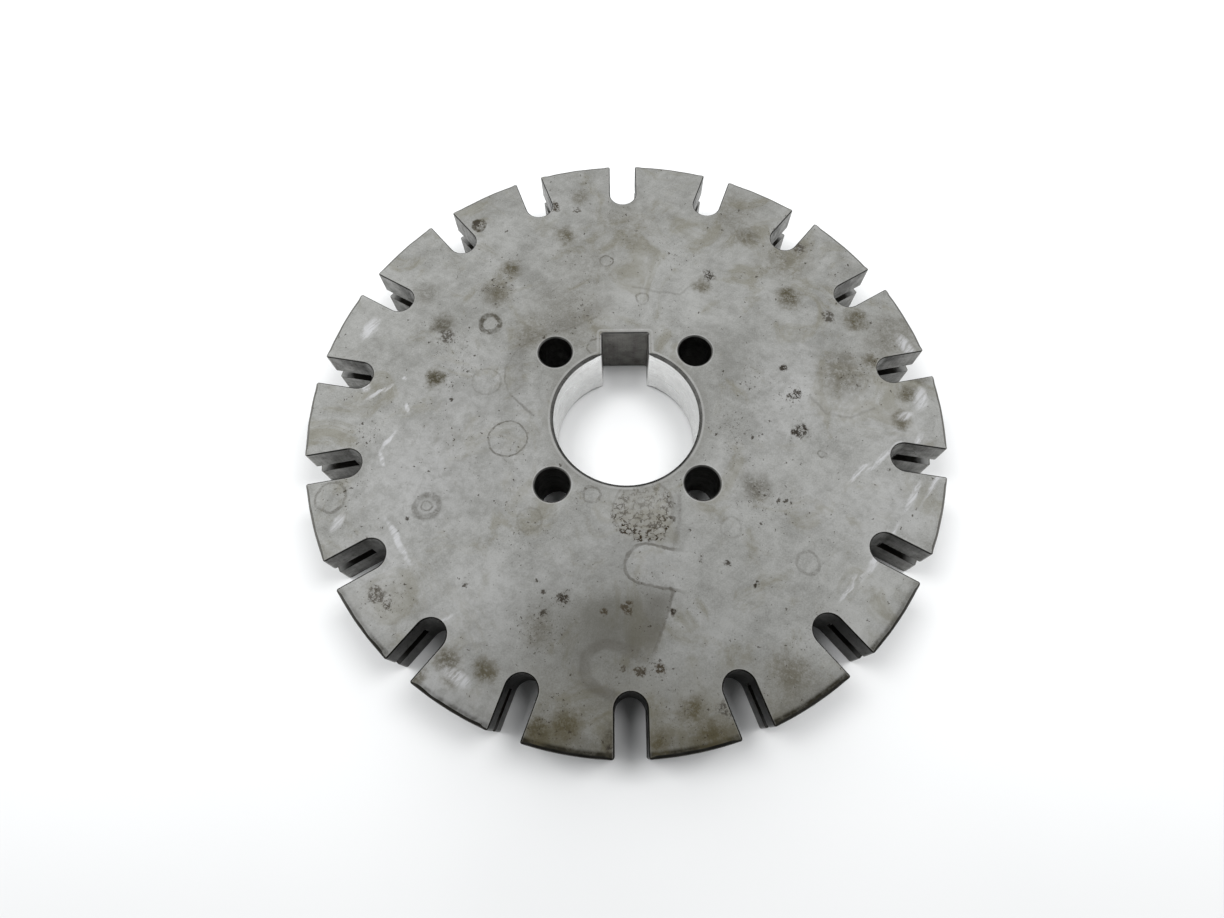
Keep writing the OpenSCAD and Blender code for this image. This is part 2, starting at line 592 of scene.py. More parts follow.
# Blots: x, y, radius, how dark, how brown.
BLOTS = [
    (-33, 48, 1.6, 0.60, 0.6),
    (-37, 43, 2.4, 0.35, 0.5),
    (-39, 22, 2.4, 0.50, 0.4),
    (-38, 19, 1.8, 0.45, 0.5),
    (-40, 9, 2.0, 0.60, 0.6),
    (-28, 30, 3.6, 0.30, 0.7),
    (-25, 36, 2.6, 0.32, 0.9),
    (-44, 30, 3.0, 0.22, 0.3),
    (-13, 45, 2.6, 0.30, 0.9),
    (-16, 53, 1.2, 0.60, 0.7),
    (-11, 52, 1.0, 0.60, 0.7),
    (-10, 56, 2.4, 0.22, 0.8),
    (19, 34, 1.6, 0.62, 0.4),
    (17, 31, 2.4, 0.28, 0.9),
    (28, 44, 3.0, 0.28, 0.8),
    (38, 43, 1.6, 0.52, 0.5),
    (40, 41, 1.4, 0.45, 0.5),
    (36, 28, 3.0, 0.52, 0.9),
    (50, 22, 2.6, 0.35, 0.9),
    (44, 23, 1.6, 0.45, 0.5),
    (33, 10, 1.0, 0.75, 0.4),
    (35, 4, 0.9, 0.60, 0.3),
    (35, -4, 1.6, 0.60, 0.3),
    (25, -16, 3.4, 0.40, 0.3),
    (8, -40, 1.0, 0.80, 0.6),
    (0, -39, 1.4, 0.45, 0.9),
    (-5, -40, 0.9, 0.45, 0.9),
    (-12, -37, 1.2, 0.75, 0.4),
    (-17, -43, 3.0, 0.25, 0.5),
    (-16, -40, 0.9, 0.55, 0.5),
    (-1, -50, 0.7, 0.40, 0.7),
    (2, -50.5, 0.8, 0.50, 0.8),
    (5, -50.2, 1.2, 0.60, 0.9),
    (19, -31, 0.9, 0.60, 0.4),
    (14, -30, 0.7, 0.60, 0.5),
    (24, -35, 0.6, 0.70, 0.4),
    (-3, -61, 2.2, 0.85, 0.1),
    (-2, -63, 1.8, 0.70, 0.2),
    (-16, -60, 2.2, 0.60, 0.9),
    (-11, -59, 3.0, 0.40, 0.9),
    (11, -57, 2.8, 0.38, 1.0),
    (17, -57, 1.6, 0.45, 0.2),
    (14, -61, 3.4, 0.40, 0.9),
    (5, -62, 2.4, 0.40, 0.9),
    (29, -51, 4.0, 0.24, 0.9),
    (-38, -47, 1.2, 0.60, 0.4),
    (-39, -50, 2.4, 0.35, 0.7),
    (-47, -36, 1.6, 0.40, 0.6),
    (-45, -38, 1.0, 0.50, 0.6),
    (-32, -51, 2.2, 0.25, 0.9),
    (58, 4, 2.2, 0.32, 0.8),
    (61, 8, 2.4, 0.35, 0.3),
    (52, 12, 2.0, 0.35, 0.8),
    (56, -2, 2.0, 0.30, 0.8),
    (-20, 20, 5.0, 0.16, 0.9),
    (-12, 24, 10.0, 0.15, 0.5),
    (-7, 37, 10.0, 0.13, 0.4),
    (0, 47, 9.0, 0.13, 0.6),
    (36, 38, 7.0, 0.16, 0.8),
    (46, 9, 6.0, 0.26, 0.6),
    (57, 17, 7.0, 0.20, 0.6),
    (-33, -48, 2.4, 0.42, 0.6),
    (-26, -50, 2.2, 0.36, 0.8),
    (25, 50, 8.0, 0.12, 0.8),
]
# Clusters of rust specks: x, y, radius, how many.
SPECK_CLUSTERS = [
    (-27, 31, 5.5, 0.85),
    (-36, 14, 7.0, 0.70),
    (-41, 50, 3.5, 0.85),
    (-36, 9, 4.0, 0.80),
    (11, 40, 5.0, 0.75),
    (27, 8, 5.0, 0.70),
    (22, -4, 6.0, 0.75),
    (35, 4, 3.0, 0.95),
    (35, -4, 3.0, 1.00),
    (50, 10, 6.0, 0.65),
    (28, -19, 7.0, 0.60),
    (-16, -43, 7.0, 0.80),
    (-12, -37, 2.5, 1.00),
    (-56, -14, 5.0, 0.75),
    (-52, -4, 5.0, 0.55),
    (33, -44, 7.0, 0.50),
    (-14, -60, 6.0, 0.80),
    (9, -60, 7.0, 0.65),
    (4, -50, 3.0, 0.90),
    (-45, -37, 5.0, 0.65),
    (-24, -6, 3.8, 0.45),
]
# Bright streaks, rubbed scuffs painted brighter as glints: x, y, half length, half width, direction in
# degrees.
SCUFF_GLINTS = [
    (-51, 6, 3.0, 0.50, 32),
    (-54, 7, 1.0, 0.80, 70),
    (-45, 2, 1.2, 0.45, 110),
    (-46, 9, 0.5, 0.45, 0),
    (-48, -5, 2.6, 0.50, 60),
    (-49, -9, 1.6, 0.45, 115),
    (-56, -22, 2.0, 0.90, 60),
    (51, -10, 4.6, 0.50, 43),
    (46, -13, 3.0, 0.50, 40),
    (55, -7, 1.0, 0.60, 20),
    (59, -6, 1.6, 0.50, 50),
    (61, -15, 4.6, 0.45, 52),
    (56, -18, 3.6, 0.55, 55),
    (48, -29, 7.0, 0.60, 52),
    (41, -36, 3.0, 0.45, 50),
    (60, 15, 3.6, 1.30, 115),
    (61, 3, 2.4, 1.50, 80),
    (57, -1, 1.8, 0.80, 20),
    (-36, -42, 4.0, 0.40, 32),
    (-31, -51, 3.0, 1.20, 150),
    (-50, -45, 2.0, 0.50, 120),
    (-55, 21, 2.6, 1.40, 60),
    (-44, -26, 5.0, 0.60, 120),
]
# Tide marks of dried oil on the front face. Each is a width, a strength and the points it runs through.
TIDE_MARKS = [
    (0.50, 0.62, [(7.6, -35.6), (8.2, -36.2), (7.8, -37.6), (6.5, -41.4), (4.3, -47.4)]),
    (3.20, 0.36, [(5.2, -38.2), (4.2, -42.0), (2.4, -46.6)]),
    (0.70, 0.30, [(10.2, -17.5), (10, -22), (9, -27)]),
    (0.38, 0.40, [(-6, 23.5), (-12, 20.5), (-19, 18.5), (-23, 15.5), (-25, 12), (-25.4, 8), (-24, 5),
                  (-19, 0)]),
    (3.00, 0.26, [(-4, 27), (-12, 22), (-22, 17), (-23, 11), (-22.5, 7)]),
    (0.50, 0.28, [(38, 4), (41, 0), (46, -1), (51, 1)]),
    (0.45, 0.26, [(2, 31), (12, 29), (17, 33)]),
]
# Soft dark clouds with one crisp side: centre, strength, then the sides as direction in degrees, distance
# and softness.
PUDDLES = [
    ((-2, -41), 0.46, [(-19, 8.0, 0.6), (92, 4.4, 5.0), (180, 9.0, 15.0), (-90, 6.0, 9.0)]),
    ((-8, -44), 0.26, [(0, 10.0, 9.0), (92, 8.0, 12.0), (180, 12.0, 14.0), (-90, 9.0, 10.0)]),
    ((12, -23), 0.08, [(180, 4.0, 0.6), (0, 3.0, 6.0), (90, 5.0, 4.0), (-90, 4.0, 4.0)]),
]
# Clean fingers in the dried oil: the ends of the middle line, half width, how soft the edge is and its
# strength.
FINGERS = [
    ((3.1, -31.0), (10.5, -32.4), 3.8, 0.5, 0.62),
    ((-4.2, -49.6), (3.0, -52.6), 4.1, 1.8, 0.50),
]
# Broad lighter areas, partly wiped cleaner than the rest and partly painted sheen where the side lights would
# reflect on the left and right: x, y, radius and how light.
WIPED_AND_SHEEN_AREAS = [
    (-40, -13, 19.0, 0.46),
    (-34, 6, 16.0, 0.30),
    (-28, -38, 15.0, 0.34),
    (-47, -30, 12.0, 0.40),
    (-24, -12, 14.0, 0.28),
    (2, -26, 15.0, 0.28),
    (36, 6, 15.0, 0.32),
    (48, -22, 13.0, 0.24),
    (56, -4, 9.0, 0.30),
    (22, -14, 10.0, 0.22),
    (-47, -37, 9.0, 0.40),
    (-36, -52, 11.0, 0.44),
    (-28, -57, 8.0, 0.36),
    (-32, -2, 13.0, 0.30),
    (-21, 2, 7.0, 0.26),
    (-14, -33, 9.0, 0.24),
    (30, -4, 8.0, 0.28),
    (36, -20, 7.0, 0.24),
    (-48, -16, 11.0, 0.34),
    (52, -20, 10.0, 0.34),
    (46, 2, 8.0, 0.26),
]
# The crust below the bore: x, y and radius.
CRUST = (3.0, -21.0, 6.2)


def slot_distance(t, x, y):
    """Distance outwards from the nearest slot's wall, in millimetres."""
    r = t.math("SQRT", t.math("ADD", t.math("MULTIPLY", x, x), t.math("MULTIPLY", y, y)))
    angle = t.math("ARCTAN2", x, y)
    near = t.math("SUBTRACT", angle, t.math("SNAP", t.math("ADD", angle, PITCH / 2), PITCH))
    u = t.math("MULTIPLY", r, t.math("COSINE", near))
    v = t.math("MULTIPLY", r, t.math("SINE", near))
    inwards = t.math("MINIMUM", t.math("SUBTRACT", u, SLOT_END), 0.0)
    away = t.math("SQRT", t.math("ADD", t.math("MULTIPLY", inwards, inwards), t.math("MULTIPLY", v, v)))
    return t.math("SUBTRACT", away, SLOT_W / 2), r


def bore_distance(t, x, y, r):
    """Distance outwards from the wall of the bore and its keyway, in millimetres."""
    dx = t.math("SUBTRACT", t.math("ABSOLUTE", x), KEY_W / 2)
    dy = t.math("SUBTRACT", t.math("ABSOLUTE", t.math("SUBTRACT", y, KEY_BACK / 2)), KEY_BACK / 2)
    ox, oy = t.math("MAXIMUM", dx, 0.0), t.math("MAXIMUM", dy, 0.0)
    outside = t.math("SQRT", t.math("ADD", t.math("MULTIPLY", ox, ox), t.math("MULTIPLY", oy, oy)))
    return t.math("MINIMUM", outside, t.math("SUBTRACT", r, BORE_R))


def hole_distance(t, x, y):
    """Distance outwards from the nearest hole's wall, in millimetres."""
    c = HOLE_CIRCLE_R * math.sqrt(0.5)
    dx = t.math("SUBTRACT", t.math("ABSOLUTE", x), c)
    dy = t.math("SUBTRACT", t.math("ABSOLUTE", y), c)
    d = t.math("SQRT", t.math("ADD", t.math("MULTIPLY", dx, dx), t.math("MULTIPLY", dy, dy)))
    return t.math("SUBTRACT", d, HOLE_R)


def band(t, distance, centre, width):
    """1 at a distance of centre, falling to 0 at half a width to either side."""
    off = t.math("ABSOLUTE", t.math("SUBTRACT", distance, centre))
    return t.step(off, width * 0.2, width * 0.5, 1.0, 0.0)


def to_part(t, where, a, b):
    """Distance in millimetres from the straight line between a and b."""
    ab = Vector((b[0] - a[0], b[1] - a[1], 0.0))
    start = Vector((a[0], a[1], 0.0))
    unit = ab / ab.length_squared
    along = t.math("SUBTRACT", t.vector("DOT_PRODUCT", where, unit), unit.dot(start), clamp=True)
    nearest = t.node("ShaderNodeVectorMath", operation="MULTIPLY_ADD")
    t.put(nearest.inputs[0], along)
    t.put(nearest.inputs[1], ab)
    t.put(nearest.inputs[2], start)
    return t.vector("DISTANCE", where, nearest.outputs[0])


def lines_along(t, p, angle, length, pitch, warp=0.0, detail=2.0):
    """Noise drawn out in one direction, as wiping and grinding leave it."""
    c, s = math.cos(math.radians(angle)), math.sin(math.radians(angle))
    x, y, z = t.split(p)
    along = t.math("ADD", t.math("MULTIPLY", x, c), t.math("MULTIPLY", y, s))
    across = t.math("SUBTRACT", t.math("MULTIPLY", y, c), t.math("MULTIPLY", x, s))
    where = t.combine(t.math("MULTIPLY", along, 1 / length), t.math("MULTIPLY", across, 1 / pitch), z)
    return t.noise(where, 1.0, detail, 0.55, warp)


def scratches(t, p, angle, length, pitch, thin):
    """Hair scratches in one direction."""
    lines = lines_along(t, p, angle, length, pitch)
    return t.step(t.math("ABSOLUTE", t.math("SUBTRACT", lines, 0.5)), 0.0, thin, 1.0, 0.0)


def beside(patch, x, y, reach):
    """True if something at x, y with this reach may show on the patch."""
    if patch is None:
        return False
    column, row = patch % 3, patch // 3
    dx = max(PATCH_X[column] - x, x - PATCH_X[column + 1], 0.0)
    dy = max(PATCH_Y[row] - y, y - PATCH_Y[row + 1], 0.0)
    return math.hypot(dx, dy) < reach + 7.0


def ground_face(name, patch):
    """The ground steel of one patch of the front face, or of the rear face where patch is None."""
    material, t = new_material(name)
    p = millimetres(t)
    x, y, _ = t.split(p)

    to_slot, r = slot_distance(t, x, y)

    # the grey of the steel: slow drift, clouds, mottling, wiping marks and grain
    drift = t.noise(p, 0.030, 2.0, 0.5)
    cloud = t.noise(p, 0.10, 4.0, 0.62, 0.7)
    mottle = t.noise(p, 0.50, 4.0, 0.65, 0.4)
    grain = t.noise(p, 3.2, 2.0, 0.80)
    tone = t.many("ADD", [
        t.math("MULTIPLY", drift, 0.20), t.math("MULTIPLY", cloud, 0.26), t.math("MULTIPLY", mottle, 0.20),
        t.math("MULTIPLY", lines_along(t, p, 38, 9.0, 0.9, 0.9, 3.0), 0.07),
        t.math("MULTIPLY", lines_along(t, p, -24, 12.0, 1.1, 0.9, 3.0), 0.07),
        t.math("MULTIPLY", grain, 0.26),
    ])
    colour = t.mix(t.step(tone, 0.40, 0.66), STEEL_DARK, STEEL_LIGHT)

    # thin oily film, olive to brown, heavier on the near side
    film = t.step(t.noise(p, 0.085, 5.0, 0.70, 0.9), 0.50, 0.66)
    colour = t.mix(t.math("MULTIPLY", film, 0.46), colour, OIL_FILM)
    dirt = []
    if patch is not None:
        near = t.math("MULTIPLY", t.step(y, -64.0, -46.0, 1.0, 0.0),
                      t.step(t.math("ABSOLUTE", t.math("SUBTRACT", x, 6.0)), 18.0, 36.0, 1.0, 0.12))
        near = t.math("MULTIPLY", near, t.step(t.noise(p, 0.20, 5.0, 0.68, 0.6), 0.30, 0.62, 0.35, 1.0))
        colour = t.mix(t.math("MULTIPLY", near, 0.66), colour, NEAR_FILM)
        dirt.append(t.math("MULTIPLY", near, 0.5))
        # painted shade: a dark band along the rim, only on the side nearest the camera, where little light
        # reaches
        in_from_rim = t.math("SUBTRACT", BODY_R, r)
        crisp = t.step(in_from_rim, 0.8, 1.6, 0.86, 0.0)
        near_side_shade = t.math("ADD", crisp, t.step(in_from_rim, 0.5, 5.0, 0.26, 0.0), clamp=True)
        near_side_shade = t.math("MULTIPLY", near_side_shade, t.step(y, -56.0, -20.0, 1.0, 0.0))
        near_side_shade = t.math("MULTIPLY", near_side_shade, t.step(t.noise(p, 0.55, 4.0, 0.7), 0.30, 0.60, 0.60, 1.0))
        colour = t.mix(near_side_shade, colour, RIM_NEAR_SHADE)

    # places for stains are shaken a little, so that no stain is a true circle
    shake = t.vector("SUBTRACT", t.noise(p, 0.30, 2.0, 0.5, colour=True), (0.5, 0.5, 0.5))
    fine = t.vector("SUBTRACT", t.noise(p, 1.5, 3.0, 0.6, colour=True), (0.5, 0.5, 0.5))
    gently = t.vector("ADD", t.vector("SCALE", shake, scale=1.3), t.vector("SCALE", fine, scale=0.45))
    calm = t.vector("MULTIPLY", t.vector("ADD", p, gently), (1.0, 1.0, 0.0))
    roughly = t.vector("ADD", t.vector("SCALE", shake, scale=3.4), t.vector("SCALE", fine, scale=1.6))
    torn = t.vector("MULTIPLY", t.vector("ADD", p, roughly), (1.0, 1.0, 0.0))
    jitter = t.vector("ADD", p, t.vector("SCALE", fine, scale=1.5))
    crumble = t.step(t.noise(p, 1.1, 5.0, 0.78), 0.38, 0.56, 0.40, 1.0)

    def stain(amounts, strength, tint, broken=crumble):
        """Colours the face where any of the amounts reaches."""
        nonlocal colour
        amounts = list(amounts)
        if amounts:
            amount = t.math("MULTIPLY", t.many("MAXIMUM", amounts), broken)
            colour = t.mix(t.math("MULTIPLY", amount, strength), colour, tint)
            dirt.append(amount)

    def within(cx, cy, angle, reach, soft):
        side = Vector((math.cos(math.radians(angle)), math.sin(math.radians(angle)), 0.0))
        d = t.vector("DOT_PRODUCT", calm, side)
        reach += side.x * cx + side.y * cy
        return t.step(d, reach - soft / 2, reach + soft / 2, 1.0, 0.0)

    # painted sheen on the left and right of the face, mixed with areas wiped cleaner
    wiped_and_sheen_parts = [t.step(t.vector("DISTANCE", torn, (cx, cy, 0)), r * 0.1, r * 1.1, amount, 0.0)
               for cx, cy, r, amount in WIPED_AND_SHEEN_AREAS if beside(patch, cx, cy, r * 1.1)]
    if wiped_and_sheen_parts:
        wiped_and_sheen_mask = t.math("MULTIPLY", t.many("MAXIMUM", wiped_and_sheen_parts), t.step(mottle, 0.36, 0.58, 0.55, 1.0))
        colour = t.mix(wiped_and_sheen_mask, colour, WIPED_AND_SHEEN)

    for centre, strength, sides in PUDDLES:
        if beside(patch, *centre, 1.3 * max(reach + soft / 2 for _, reach, soft in sides)):
            puddle = t.many("MULTIPLY", [within(*centre, *side) for side in sides])
            colour = t.mix(t.math("MULTIPLY", puddle, strength), colour, OIL_CLOUD)

    patchy = t.step(t.noise(p, 0.5, 3.0), 0.30, 0.60, 0.45, 1.0)
    for a, b, half, soft, strength in FINGERS:
        if beside(patch, *a, half + 8.0):
            d = t.math("SUBTRACT", to_part(t, calm, a, b), half)
            open_end = t.step(x, b[0] - 3.0, b[0] + 1.0, 1.0, 0.0)
            shading = t.step(d, 0.5, 6.0, 0.30 * strength, 0.0)
            around = t.math("MULTIPLY", t.step(d, -soft / 2, soft / 2), shading)
            colour = t.mix(t.math("MULTIPLY", around, open_end), colour, (0.125, 0.120, 0.098))
            edge = t.math("MULTIPLY", band(t, d, 0.0, soft * 1.7), open_end)
            stain([t.math("MULTIPLY", edge, strength)], 1.0, OIL_EDGE, patchy)
    stain((t.step(to_part(t, calm, a, b), wide * 0.15, wide, strength, 0.0)
           for wide, strength, points in TIDE_MARKS for a, b in zip(points, points[1:])
           if beside(patch, (a[0] + b[0]) / 2, (a[1] + b[1]) / 2, wide + math.dist(a, b) / 2)),
          1.0, OIL_EDGE, patchy)

    def blots(small, brown_part, most):
        inner, outer = (0.55, 1.20) if small else (0.15, 1.40)
        for cx, cy, r, dark, brown in BLOTS:
            if (r < 2) == small and beside(patch, cx, cy, r * outer):
                amount = dark * (brown if brown_part else 1 - 0.6 * brown)
                away = t.vector("DISTANCE", torn, (cx, cy, 0))
                yield t.step(away, r * inner, r * outer, min(1.0, amount * most), 0.0)

    flecks = t.step(t.noise(p, 1.5, 4.0, 0.7, 0.5), 0.44, 0.53, 0.12, 1.0)
    stain(blots(False, True, 3.0), 0.95, (0.150, 0.128, 0.070))
    stain(blots(False, False, 2.0), 0.85, (0.100, 0.092, 0.070))
    stain(blots(True, True, 2.2), 0.90, (0.105, 0.078, 0.042), flecks)
    stain(blots(True, False, 2.0), 0.95, (0.062, 0.054, 0.044), flecks)

    def ring_at(cx, cy, r, wide, dark):
        d = t.vector("DISTANCE", calm, (cx, cy, 0))
        return t.math("MULTIPLY", band(t, d, r - wide / 2, wide * 1.6), dark)

    stain((ring_at(*one) for one in DROP_RINGS if beside(patch, *one[:3])), 0.95, (0.080, 0.068, 0.045),
          t.math("MULTIPLY", crumble, patchy))

    # worm-like crust in the large stain below the bore
    if beside(patch, *CRUST):
        veins = t.node("ShaderNodeTexVoronoi", feature="DISTANCE_TO_EDGE")
        t.put(veins.inputs["Vector"], jitter)
        veins.inputs["Scale"].default_value = 0.85
        crust = t.step(veins.outputs["Distance"], 0.03, 0.16, 1.0, 0.0)
        crust = t.math("MULTIPLY", crust, t.step(t.noise(p, 0.8, 2.0), 0.42, 0.52))
        crust = t.math("MULTIPLY", crust, t.step(y, -24.0, -16.0, 1.0, 0.40))
        crust_x, crust_y, reach = CRUST
        from_crust = t.vector("DISTANCE", torn, (crust_x, crust_y, 0))
        crust = t.math("MULTIPLY", crust, t.step(from_crust, reach * 0.4, reach * 0.8, 0.6, 1.0))
        stain([t.step(from_crust, reach * 0.60, reach * 1.15, 0.26, 0.0)], 1.0, CRUST_STAIN)
        stain([t.step(from_crust, reach * 0.85, reach * 1.05, 1.0, 0.0)], 1.0, CRUST_BROWN, crust)

    # rust specks: small cells, kept where a cluster or a stray patch of noise allows
    stray = t.step(t.noise(p, 0.07, 3.0, 0.6), 0.48, 0.70, 0.05, 0.34)
    wanted = t.many("MAXIMUM", [stray] + [
        t.step(t.vector("DISTANCE", torn, (cx, cy, 0)), r * 0.3, r * 1.2, amount, 0.0)
        for cx, cy, r, amount in SPECK_CLUSTERS if beside(patch, cx, cy, r * 1.2)])

    def dots(scale, size, share):
        distance, shade = t.cells(jitter, scale)
        keep = t.math("LESS_THAN", t.split(shade)[0], t.math("MULTIPLY", wanted, share))
        width = t.math("MULTIPLY", t.split(shade)[1], size)
        dot = t.math("DIVIDE", t.math("SUBTRACT", width, distance), 0.14, clamp=True)
        return t.math("MULTIPLY", dot, keep)

    stain((dots(*kind) for kind in ((0.75, 0.40, 0.26), (1.6, 0.44, 0.44), (3.0, 0.46, 0.60))), 0.80,
          RUST, 1.0)

    # rubbed streaks with a painted glint, and hair scratches
    def scuff_glint_at(cx, cy, half, thick, angle):
        c, s = math.cos(math.radians(angle)), math.sin(math.radians(angle))
        a = t.vector("DOT_PRODUCT", calm, (c / half, s / half, 0.0))
        a = t.math("SUBTRACT", a, (c * cx + s * cy) / half)
        b = t.vector("DOT_PRODUCT", calm, (-s / thick, c / thick, 0.0))
        b = t.math("SUBTRACT", b, (c * cy - s * cx) / thick)
        return t.step(t.math("ADD", t.math("MULTIPLY", a, a), t.math("MULTIPLY", b, b)), 0.0, 1.8, 1.0, 0.0)

    hair = t.many("MAXIMUM", [
        scratches(t, p, 34, 16.0, 0.55, 0.006), scratches(t, p, -58, 20.0, 0.7, 0.005),
        scratches(t, p, 78, 13.0, 0.6, 0.005),
    ])
    hair = t.math("MULTIPLY", hair, t.step(t.noise(p, 0.10, 3.0), 0.46, 0.66))
    colour = t.mix(t.math("MULTIPLY", hair, 0.16), colour, (0.50, 0.50, 0.49))
    scuff_glint_list = [scuff_glint_at(*one) for one in SCUFF_GLINTS if beside(patch, one[0], one[1], max(one[2:4]) * 1.4)]
    if scuff_glint_list:
        broken = t.step(lines_along(t, p, 46, 3.2, 0.6, 0.8, 4.0), 0.36, 0.60, 0.32, 1.0)
        scuff_glint = t.math("MULTIPLY", t.many("MAXIMUM", scuff_glint_list), broken)
        colour = t.mix(t.math("MULTIPLY", scuff_glint, 0.72), colour, SCUFF_GLINT)

    # edges: slots, bore and holes have a thin bright line, partly rubbed wear and partly painted highlight
    # where the edge breaks catch the light
    to_bore = bore_distance(t, x, y, r)
    to_hole = hole_distance(t, x, y)
    edge_glint_patches = t.step(t.noise(p, 0.25, 3.0), 0.35, 0.60, 0.50, 1.0)
    edge_glint_and_scuff = t.many("MAXIMUM", [
        t.math("MULTIPLY", band(t, to_bore, 0.84, 0.66), 0.62),
        t.math("MULTIPLY", band(t, to_slot, 0.30, 0.26), 0.14),
        t.math("MULTIPLY", band(t, to_hole, 0.42, 0.34), 0.34),
    ])
    colour = t.mix(t.math("MULTIPLY", edge_glint_and_scuff, edge_glint_patches), colour, (0.66, 0.66, 0.65))
    halo = t.math("MULTIPLY", t.step(to_bore, 0.9, 3.0, 0.30, 0.0), t.step(mottle, 0.35, 0.60, 0.3, 1.0))
    colour = t.mix(halo, colour, (0.20, 0.19, 0.165))

    rough = t.step(tone, 0.40, 0.66, 0.40, 0.31)
    rough = t.math("ADD", rough, t.math("MULTIPLY", t.many("MAXIMUM", dirt), 0.25))
    height = t.math("ADD", t.math("MULTIPLY", grain, 0.6), t.math("MULTIPLY", mottle, 0.4))
    finish_material(t, colour, rough, height, 0.010)
    return material


# ---------------------------------------------------------------- walls
def tooled_wall(name, dark, light, rough, across, along, line_depth, soil, soil_amount, axis="z",
                lines_share=0.30, edge_colour=None, edge_amount=0.0, edge_patchy=0.60, near_shade_strength=0.0,
                painted_light_mouth_colour=None):
    """A machined wall. Tool lines run round the axis where axis is z, and up and down where it is xy. Painted
    shade darkens the near side, as on the front face."""
    material, t = new_material(name)
    p = millimetres(t)
    x, y, z = t.split(p)
    level, upright = (along, across) if axis == "z" else (across, along)
    where = t.combine(
        t.math("MULTIPLY", x, level), t.math("MULTIPLY", y, level), t.math("MULTIPLY", z, upright))
    lines = t.noise(where, 1.0, 3.0, 0.6)
    patch = t.noise(p, 0.35, 4.0, 0.6)
    grain = t.noise(p, 3.0, 3.0, 0.7)
    tone = t.many("ADD", [
        t.math("MULTIPLY", lines, lines_share), t.math("MULTIPLY", patch, 0.75 - lines_share),
        t.math("MULTIPLY", grain, 0.25)])
    colour = t.mix(t.step(tone, 0.36, 0.64), dark, light)
    spots = t.step(t.noise(p, 0.9, 5.0, 0.7), 0.54, 0.70)
    colour = t.mix(t.math("MULTIPLY", spots, soil_amount), colour, soil)
    # the edge breaks take the edge colour: painted shade where it is dark, painted highlight with some rubbed
    # wear where it is light
    if edge_colour:
        edge = t.node("ShaderNodeAttribute", attribute_name="edge_wear_and_light").outputs["Fac"]
        edge_tint = t.math("MULTIPLY", edge, t.step(patch, 0.35, 0.60, edge_patchy, 1.0))
        colour = t.mix(t.math("MULTIPLY", edge_tint, edge_amount), colour, edge_colour)
    # painted light: the groove lightens towards its open end at the rim, where light gets in
    if painted_light_mouth_colour:
        out = t.math("SQRT", t.math("ADD", t.math("MULTIPLY", x, x), t.math("MULTIPLY", y, y)))
        out = t.math("ADD", out, t.math("MULTIPLY", t.math("SUBTRACT", patch, 0.5), 4.0))
        colour = t.mix(t.step(out, BODY_R - 3.4, BODY_R - 0.4), colour, painted_light_mouth_colour)
    # painted shade: the wall darkens on the side nearest the camera
    if near_shade_strength:
        near_side_shade = t.math("MULTIPLY", t.step(y, -48.0, -18.0, 1.0, 0.0), t.step(patch, 0.30, 0.60, 0.9, 1.0))
        colour = t.mix(t.math("MULTIPLY", near_side_shade, near_shade_strength), colour, WALL_NEAR_SHADE)
    roughness = t.math("ADD", t.step(tone, 0.36, 0.64, rough + 0.05, rough - 0.05),
                       t.math("MULTIPLY", spots, 0.15 * soil_amount))
    height = t.math("ADD", t.math("MULTIPLY", lines, 0.7), t.math("MULTIPLY", grain, 0.3))
    finish_material(t, colour, roughness, height, line_depth)
    return material


